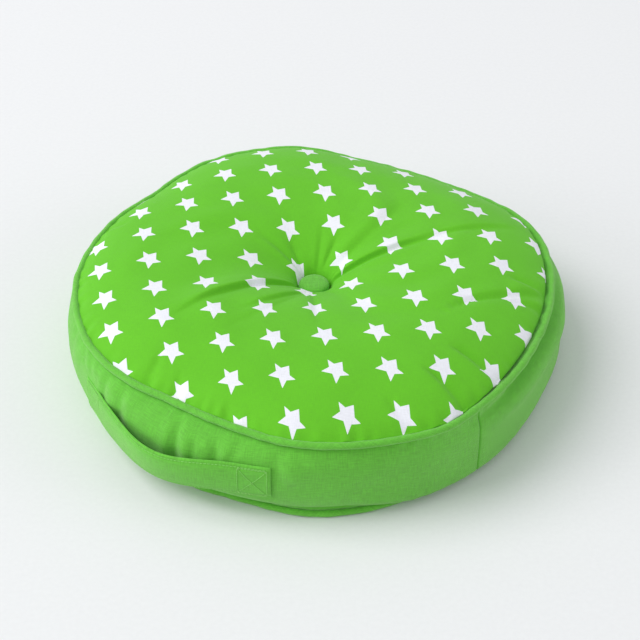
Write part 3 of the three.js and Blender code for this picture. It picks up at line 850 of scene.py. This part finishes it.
def piping(name, ring, height, wave_seed):
    """A cord's cover: a round welt with its two edges laid together and turned in."""
    angles = turns(720)
    arc = np.radians(np.linspace(-168, 168, 19))
    inner_edge, edge_height = -PIPING_RADIUS - SEAM_TURN, 0.45 * MM
    out = np.concatenate([[inner_edge], PIPING_RADIUS * np.cos(arc), [inner_edge]])[None, :]
    up = np.concatenate([[-edge_height], PIPING_RADIUS * np.sin(arc), [edge_height]])[None, :]
    wave = 0.35 * MM * ripple(angles, 60, wave_seed)
    plump = 1 + 0.05 * ripple(angles, 90, wave_seed + 1)
    above_floor = 0.05 * MM
    heights = np.maximum(height(angles) + up * plump + wave * 0.6, above_floor)
    grid = points_at(angles, ring(angles) + out * plump + wave, heights)
    wrapped = np.arctan2(up, out) * PIPING_RADIUS
    length = angles * RING
    cloth = stacked((length + wrapped) * BIAS, (length - wrapped) * BIAS)
    return grid_object(name, grid, CANVAS, cloth, wrap_columns=True)


def piping_cord(name, ring, height):
    angles = turns(360)
    section = turns(12).T
    grid = points_at(angles, ring(angles) + CORD_RADIUS * np.cos(section),
                     height(angles) + CORD_RADIUS * np.sin(section))
    return grid_object(name, grid, CORD, stacked(angles * RING, section * CORD_RADIUS), wrap_columns=True)


# ---- The inner cushion ----


def casing_sheet(name, surface, depth, shares):
    """A sheet of casing inside a cover surface. The angles run the way that makes it face outwards."""
    angles = turns(360)[::-1] if depth > 0 else turns(360)
    return grid_object(name, inset(surface, angles, shares, depth), CASING, thickness=CASING_CLOTH)


def inset(surface, angles, shares, depth):
    """The surface moved along the normals of its plain shape.

    They point down or outwards, so inwards is a positive depth for the top and a negative one elsewhere.
    """
    step = 0.001
    out = surface(angles, shares + step, 0.0) - surface(angles, shares - step, 0.0)
    side = surface(angles + step, shares, 0.0) - surface(angles - step, shares, 0.0)
    normal = np.cross(side, out)
    normal /= np.linalg.norm(normal, axis=-1, keepdims=True)
    return surface(angles, shares) + normal * depth


def filling():
    """The fibre: one closed body inside the casing, with a hole for the twine."""
    angles = turns(240)[::-1]
    top = inset(top_surface, angles, shares_between(0.09, 0.93, 60), 4.2 * MM)
    side = inset(side_surface, angles, shares_between(0.9, 0.1, 48), -7.5 * MM)
    base = inset(bottom_surface, angles, shares_between(0.95, 0.09, 40), -3.4 * MM)
    return grid_object("fibre_pad", np.concatenate([top, side, base], 1), FIBRE, wrap_columns=True)


# ---- Buttons ----
# From the middle of the dome to its gathered edge: distance out and height, for a button of this radius and
# height, all in mm.
BUTTON_OUTLINE = ((0, 9.0), (5, 8.95), (9, 8.75), (12, 8.2), (14, 7.1), (15.2, 5.4), (15.5, 3.6),
                  (15.3, 1.8), (14, 0.3))
DRAWN_RADIUS, DRAWN_HEIGHT = 16, 9


def button(name, base, up):
    """A cloth-covered button: a low dome with its cloth gathered under the rim."""
    angles = turns(96)[::-1] if up > 0 else turns(96)
    spots = np.array(BUTTON_OUTLINE)
    lengths = np.concatenate([[0], np.cumsum(np.hypot(*np.diff(spots, axis=0).T))])
    reach = shares_between(0, 1, 34)
    radius = smooth_curve(reach * lengths[-1], np.stack([lengths, spots[:, 0]], 1))
    height = smooth_curve(reach * lengths[-1], np.stack([lengths, spots[:, 1]], 1))
    pleat = smooth_step(0.75, 1.0, reach) * ripple(angles, 30, 12) * 0.25
    radius = np.maximum(radius + pleat, 0.02) * BUTTON_RADIUS / DRAWN_RADIUS
    height = height * BUTTON_HEIGHT / DRAWN_HEIGHT
    return grid_object(name, points_at(angles, radius, base + up * height), CANVAS, thickness=BUTTON_CLOTH)


# ---- The handle ----
# Where the strap starts and ends, and where it stands off the cushion most, in degrees; how far, in mm; and
# over how many degrees.
STRAP_START, STRAP_END = -152.0, -99.0
LOOP_ANGLE, LOOP_REACH, LOOP_SPREAD = -124.3, 11.0, 8.3
STRAP_ROWS, STRAP_COLUMNS = 300, 64
# How far the edge stitching lies from the strap's edges, and the sewn box from its edges and its end.
EDGE_INSET = 2.2 * MM
BOX_INSET, BOX_NEAR, BOX_FAR = 3 * MM, 3.5 * MM, 30.5 * MM
THREAD_SIDES = 6
STITCH_POINTS = 6


def strap_path(angle, height):
    """The strap's inner face: on the boxing at its ends, and standing off it in a soft bend."""
    share = (height - BOTTOM_SEAM - PIPING_RADIUS) / (TOP_SEAM - BOTTOM_SEAM - 2 * PIPING_RADIUS)
    wall = np.linalg.norm(side_surface(angle, share, 0.0)[..., :2], axis=-1)
    lean = 1 + 0.25 * (height - STRAP_MIDDLE) / STRAP_HALF
    loop = LOOP_REACH * MM * np.exp(-0.5 * ((np.degrees(angle) - LOOP_ANGLE) / LOOP_SPREAD) ** 2)
    return wall + 0.3 * MM + loop * lean - around(angle, STRAP_SINK)


def strap():
    """The whole strap: a flat tube with soft edges, rounded ends and a groove under its edge stitching."""
    angles = turns(STRAP_ROWS, STRAP_START, STRAP_END, closed=False)
    section = turns(STRAP_COLUMNS).T
    squared = np.sign(np.cos(section)) * np.abs(np.cos(section)) ** 0.5
    edge = np.sign(np.sin(section)) * np.abs(np.sin(section)) ** 0.22
    height = STRAP_MIDDLE + edge * STRAP_HALF
    from_end = np.minimum(np.arange(STRAP_ROWS), np.arange(STRAP_ROWS)[::-1])[:, None]
    out = STRAP_THICKNESS / 2 * (1 + squared * np.minimum(1, 0.25 + from_end / 4))
    stitched = bump(np.abs(edge) * STRAP_HALF, STRAP_HALF - EDGE_INSET, 0.7 * MM)
    dip = 0.35 * MM * stitched * (squared > 0)
    lowered = height - around(angles, STRAP_DROOP)
    grid = points_at(angles, strap_path(angles, height) + out - dip, lowered)
    cloth = stacked(angles * BELLY, edge * STRAP_HALF)
    return grid_object("handle_strap", grid, CANVAS, cloth, wrap_rows=False, wrap_columns=True)


def strap_face(angle, height):
    """A point on the strap's outer face."""
    radius = strap_path(angle, height) + STRAP_THICKNESS
    return points_at(angle, radius, height - around(angle, STRAP_DROOP))


def away_from_axis(path):
    """The level direction away from the Z axis at each point of a path."""
    return path * (1, 1, 0) / np.linalg.norm(path[:, :2], axis=1)[:, None]


def stitch_row(first, last, gap=0.9 * MM, length=2.4 * MM, sink=0.1 * MM):
    """Stitches along a straight line on the strap's face, given as (angle in degrees, height) pairs."""
    first, last = np.array(first, float), np.array(last, float)
    run = np.array(((last[0] - first[0]) * math.pi / 180 * BELLY, last[1] - first[1]))
    count = max(1, round(np.hypot(*run) / (length + gap)))
    start = 0.08
    steps = np.linspace(start, start + length / (length + gap), STITCH_POINTS)
    arch = THREAD_RADIUS * np.sin(np.linspace(0.15, 0.85, STITCH_POINTS) * np.pi)[:, None]
    pieces = []
    for k in range(count):
        spots = first + (last - first) * ((k + steps) / count)[:, None]
        path = strap_face(np.radians(spots[:, 0]), spots[:, 1])
        pieces.append(path + away_from_axis(path) * (arch - sink))
    return pieces


def thread_points(path):
    """The points round one stitch, which is thinner at its two ends."""
    along = np.gradient(path, axis=0)
    along /= np.linalg.norm(along, axis=1)[:, None]
    side = np.cross(away_from_axis(path), along)[:, None]
    thick = THREAD_RADIUS * np.array([0.5] + [1.0] * (len(path) - 2) + [0.5])[:, None, None]
    turned = turns(THREAD_SIDES)
    round_it = np.cos(turned) * away_from_axis(path)[:, None] + np.sin(turned) * side
    return (path[:, None] + thick * round_it).reshape(-1, 3).tolist()


def thread_object(name, paths):
    """Short round stitches along the given paths, as one mesh."""
    spots, faces, places = [], [], []
    for path in paths:
        base, rows = len(spots), len(path)
        tube = grid_faces(rows, THREAD_SIDES, wrap_columns=True)
        faces += [[base + corner for corner in face] for face in tube] + end_caps(rows, THREAD_SIDES, base)
        spots += thread_points(path)
        places += [(k * MM, s * MM) for k in range(rows) for s in range(THREAD_SIDES)]
    mesh = bpy.data.meshes.new(name)
    mesh.from_pydata(spots, [], faces)
    set_cloth(mesh, np.array(places))
    return link(mesh, name, STITCH)


def edge_stitching():
    rows = []
    for height in (STRAP_LOW + EDGE_INSET, STRAP_HIGH - EDGE_INSET):
        rows += stitch_row((STRAP_START + 1, height), (STRAP_END - 1, height))
    return thread_object("handle_edge_stitching", rows)


def box_stitching(name, outer_angle, inward, sink):
    """A sewn square with a cross, near one end of the strap."""
    degrees = 180 / math.pi / BELLY
    near = outer_angle + inward * BOX_NEAR * degrees
    far = outer_angle + inward * BOX_FAR * degrees
    low, high = STRAP_LOW + BOX_INSET, STRAP_HIGH - BOX_INSET
    corners = [(near, low), (near, high), (far, high), (far, low)]
    rows = []
    for first, last in ((0, 1), (1, 2), (2, 3), (3, 0), (0, 2), (1, 3)):
        rows += stitch_row(corners[first], corners[last], 0.5 * MM, sink=sink)
    return thread_object(name, rows)


# ---- Build it ----
# Each piping: its name, its line's distance out and height, and the seed of its waviness.
PIPINGS = (("top", ring_radius, ring_height, 21), ("bottom", bottom_ring_radius, bottom_ring_height, 31))


def build_cover():
    top = top_panel()
    base = bottom_panel()
    front = boxing("boxing_front_cloth", BACK_JOIN, FRONT_JOIN + 360)
    back = boxing("boxing_back_cloth", FRONT_JOIN, BACK_JOIN)
    attach(top, "star_cotton", "star_top_panel")
    attach(base, "plain_canvas", "plain_bottom_panel")
    attach(front, "plain_canvas", "boxing_front")
    attach(back, "plain_canvas", "boxing_back")
    for name, ring, height, seed in PIPINGS:
        attach(piping(name + "_piping", ring, height, seed), "plain_canvas", name + "_piping_cover")


def attach(piece, finish, *cad_nodes):
    """Puts a piece on the cushion's body, in place of its CAD nodes. The finish is not used."""
    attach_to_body(piece, "cushion")
    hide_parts(*cad_nodes)


# Each sheet of casing: its name, the cover's surface and how far inside it, and its first share, last share
# and number of shares.
CASINGS = (
    ("top", top_surface, 2.6 * MM, 0.03, 0.95, 70),
    ("bottom", bottom_surface, -1.6 * MM, 0.03, 0.955, 50),
    ("band", side_surface, -4.6 * MM, 0.06, 0.94, 60),
)


def build_inside():
    for name, surface, depth, first, last, count in CASINGS:
        sheet = casing_sheet("casing_" + name, surface, depth, shares_between(first, last, count))
        attach(sheet, "casing_fabric", "inner_casing_" + name)
    pad = filling()
    attach(pad, "fibre", "fibre_filling")
    for name, ring, height, _ in PIPINGS:
        attach(piping_cord(name + "_cord", ring, height), "cord_cotton", name + "_piping_cord")


def build_buttons():
    attach(button("top_button", TUFT_TOP, 1), "plain_canvas", "top_button_cloth")
    attach(button("bottom_button", TUFT_BOTTOM, -1), "plain_canvas", "bottom_button_cloth")
    metal = [side + part for side in ("top_button_", "bottom_button_") for part in ("shell", "back", "eye")]
    # These CAD nodes are shown as they are, in their real material.
    for name in metal + ["tufting_twine"]:
        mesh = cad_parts[name].data
        mesh.materials.clear()
        mesh.materials.append(METAL if name in metal else TWINE)


def build_handle():
    band = strap()
    edges = edge_stitching()
    for piece in (band, edges):
        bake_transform(piece)
    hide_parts("handle_grip", "handle_left_end", "handle_right_end")
    left = box_stitching("handle_left_box_stitching", STRAP_START, 1, 0.3 * MM)
    right = box_stitching("handle_right_box_stitching", STRAP_END, -1, 0.0)
    attach(left, "stitch_thread", "handle_left_stitching")
    attach(right, "stitch_thread", "handle_right_stitching")


# ---- The studio ----
# Each lamp: name, place and width in metres, and power in watts. All of them look at the cushion.
LAMPS = (
    ("key", (-6.3, 0.5, 7.8), 7.4, 585),
    ("left_fill", (-8.5, -1.7, 2.6), 4.8, 250),
    ("right_fill", (8.6, -1.3, 2.8), 4.8, 128),
)
LAMP_AIM = Vector((0, 0, 0.05))
FLOOR_SIZE = 60


def build_floor():
    bpy.ops.mesh.primitive_plane_add(size=FLOOR_SIZE)
    ground = bpy.context.object
    ground.name = "floor"
    ground.data.materials.append(floor_material())


def area_light(name, spot, size, power):
    data = bpy.data.lights.new(name, "AREA")
    data.shape = "DISK"
    data.size = size
    data.energy = power
    lamp = bpy.data.objects.new(name, data)
    lamp.location = spot
    lamp.visible_camera = False
    lamp.rotation_euler = (LAMP_AIM - Vector(spot)).to_track_quat("-Z", "Y").to_euler()
    SCENE.collection.objects.link(lamp)


def build_light():
    world = bpy.data.worlds.new("studio")
    world.use_nodes = True
    sky = world.node_tree.nodes["Background"]
    sky.inputs[0].default_value = (0.97, 1.0, 1.0, 1.0)
    sky.inputs[1].default_value = 0.58
    SCENE.world = world
    for lamp in LAMPS:
        area_light(*lamp)
    SCENE.view_settings.view_transform = "Standard"


def build_camera():
    data = bpy.data.cameras.new("camera")
    data.lens = 85
    data.sensor_width = 36
    camera = bpy.data.objects.new("camera", data)
    camera.location = (0, -1.1954, 1.0219)
    aim = Vector((0.0061, -0.0029, 0.0364))
    camera.rotation_euler = (aim - camera.location).to_track_quat("-Z", "Y").to_euler()
    SCENE.collection.objects.link(camera)
    SCENE.camera = camera


build_camera()
settle_cover()
build_cover()
build_inside()
build_buttons()
build_handle()
build_floor()
build_light()
